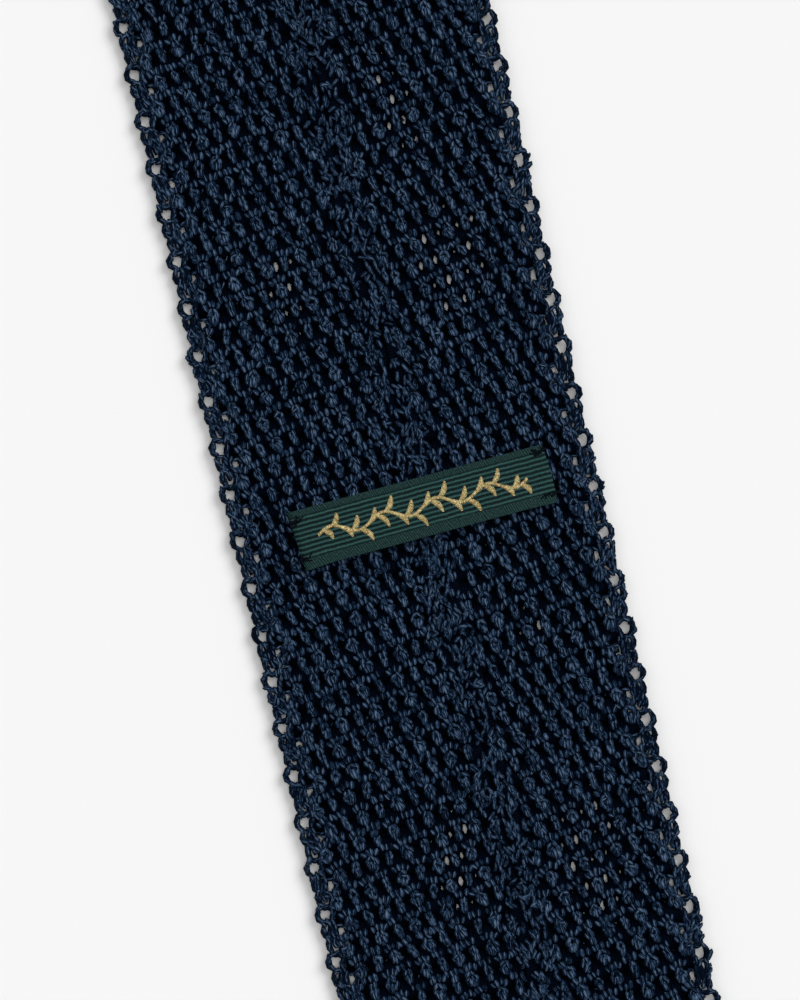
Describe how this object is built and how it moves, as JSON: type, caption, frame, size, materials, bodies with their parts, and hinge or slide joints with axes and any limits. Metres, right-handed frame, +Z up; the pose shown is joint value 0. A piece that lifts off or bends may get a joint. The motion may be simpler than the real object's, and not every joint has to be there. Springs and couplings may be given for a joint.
{
  "type": "knit tie",
  "caption": "Square-ended knitted silk necktie laid flat, back up, with a centre back seam, picot edges and a sewn ribbon keeper loop for the tail.",
  "frame": {"origin": "middle of the underside, halfway along the tie's length, on the surface it lies on", "axes": "+X across the tie to the right as its back is seen with the wide tip at the bottom, +Y along the tie from the wide tip to the tail, +Z up from the front ply through the back"},
  "size_m": [0.064, 1.45, 0.0056],
  "materials": {
    "silk_knit": "navy silk yarn, openwork knit",
    "silk_seam": "navy silk yarn, splayed seam stitches",
    "grosgrain_ribbon": "dark green ribbed ribbon with gold embroidery"
  },
  "bodies": {
    "root": {"knit_body": "silk_knit", "centre_back_seam": "silk_seam", "keeper_ribbon": "grosgrain_ribbon"}
  },
  "joints": []
}
